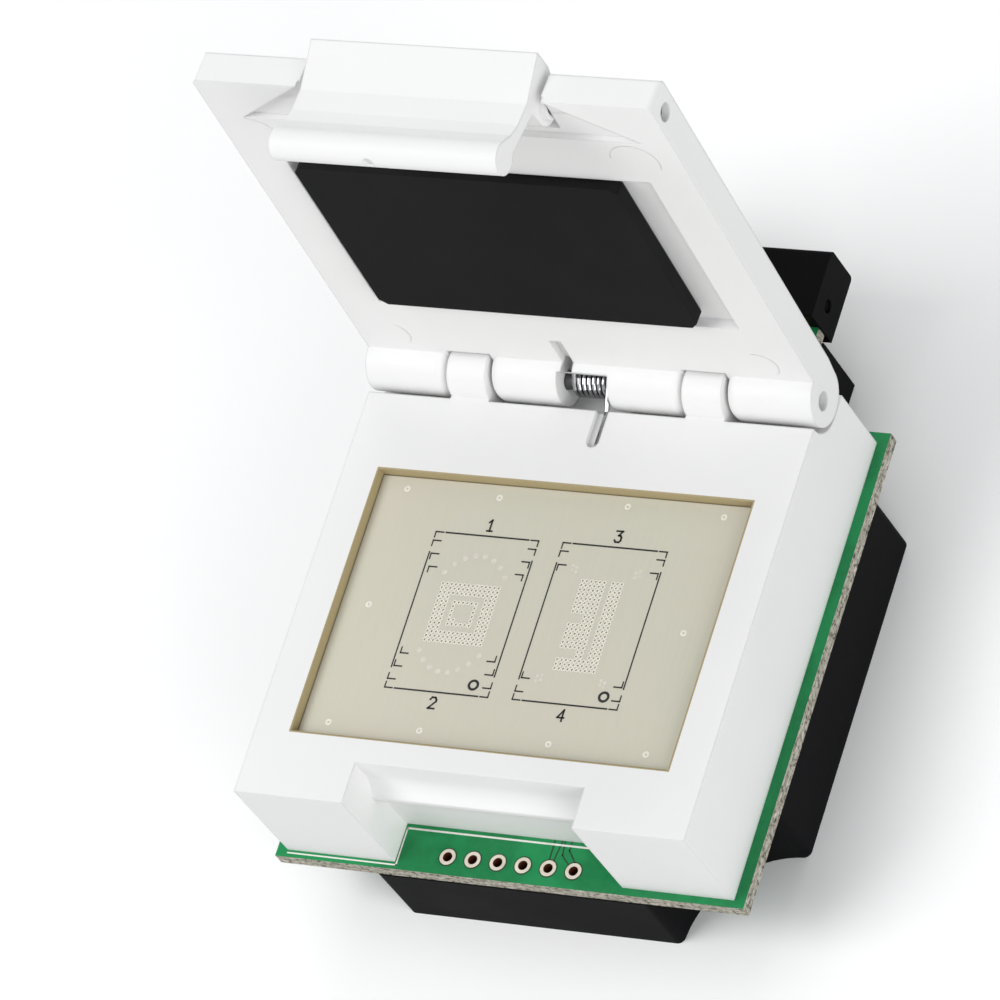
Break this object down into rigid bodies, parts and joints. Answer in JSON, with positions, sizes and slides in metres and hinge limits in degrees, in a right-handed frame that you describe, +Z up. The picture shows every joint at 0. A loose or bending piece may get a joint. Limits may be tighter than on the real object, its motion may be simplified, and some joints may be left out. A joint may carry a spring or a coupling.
{
  "type": "bga test adapter",
  "caption": "Clamshell test adapter for ball grid chips: hinged lid with pressure pad and latch, sprung guide plate over probes, board with plated holes and a rear socket.",
  "frame": {"origin": "centre of the board outline, on the underside of the base", "axes": "+X along the hinge towards the right side, +Y from the front latch to the hinge, +Z up"},
  "size_m": [0.0542, 0.0737, 0.0771],
  "materials": {
    "black_moulding": "fine spark-eroded texture",
    "green_board": "solder mask over glass laminate",
    "tin_plating": "bright tin",
    "white_moulding": "smooth satin moulding",
    "beige_block": "machined plastic",
    "gold_probe": "gold plated",
    "beige_plate": "machined, slightly translucent",
    "spring_wire": "drawn spring wire",
    "steel": "turned steel",
    "backing_metal": "rolled sheet",
    "black_pad": "matt elastomer",
    "black_connector": "moulded connector plastic",
    "brass_contact": "gold flashed"
  },
  "bodies": {
    "base": {"base_housing": "black_moulding", "circuit_board": "green_board", "plated_holes": "tin_plating", "socket_body": "white_moulding", "probe_block": "beige_block", "probes_left": "gold_probe", "probes_right": "gold_probe", "plate_springs": "spring_wire", "hinge_pin": "steel", "hinge_spring": "spring_wire", "rear_socket": "black_connector", "rear_contacts": "brass_contact", "case_screws": "steel", "locating_pins": "steel"},
    "plate": {"guide_plate": "beige_plate", "plate_screws": "steel"},
    "lid": {"lid": "white_moulding", "pad_backing": "backing_metal", "pressure_pad": "black_pad", "latch_pin": "steel"},
    "latch": {"latch": "white_moulding"}
  },
  "joints": [
    {"name": "lid_hinge", "type": "hinge", "parent": "base", "child": "lid", "pos_m": [0, 0.0235, 0.02395], "axis": [1, 0, 0], "range_deg": [0, 95], "stiffness_Nm_per_rad": 0.003, "springref_deg": -34.38, "deforming": ["hinge_spring"]},
    {"name": "latch_pivot", "type": "hinge", "parent": "lid", "child": "latch", "pos_m": [0, 0.02953, 0.0711], "axis": [1, 0, 0], "range_deg": [-12, 20]},
    {"name": "plate_float", "type": "slide", "parent": "base", "child": "plate", "axis": [0, 0, -1], "range_m": [0, 0.0005], "stiffness_N_per_m": 2000, "springref_m": -0.001, "deforming": ["plate_springs"]}
  ]
}
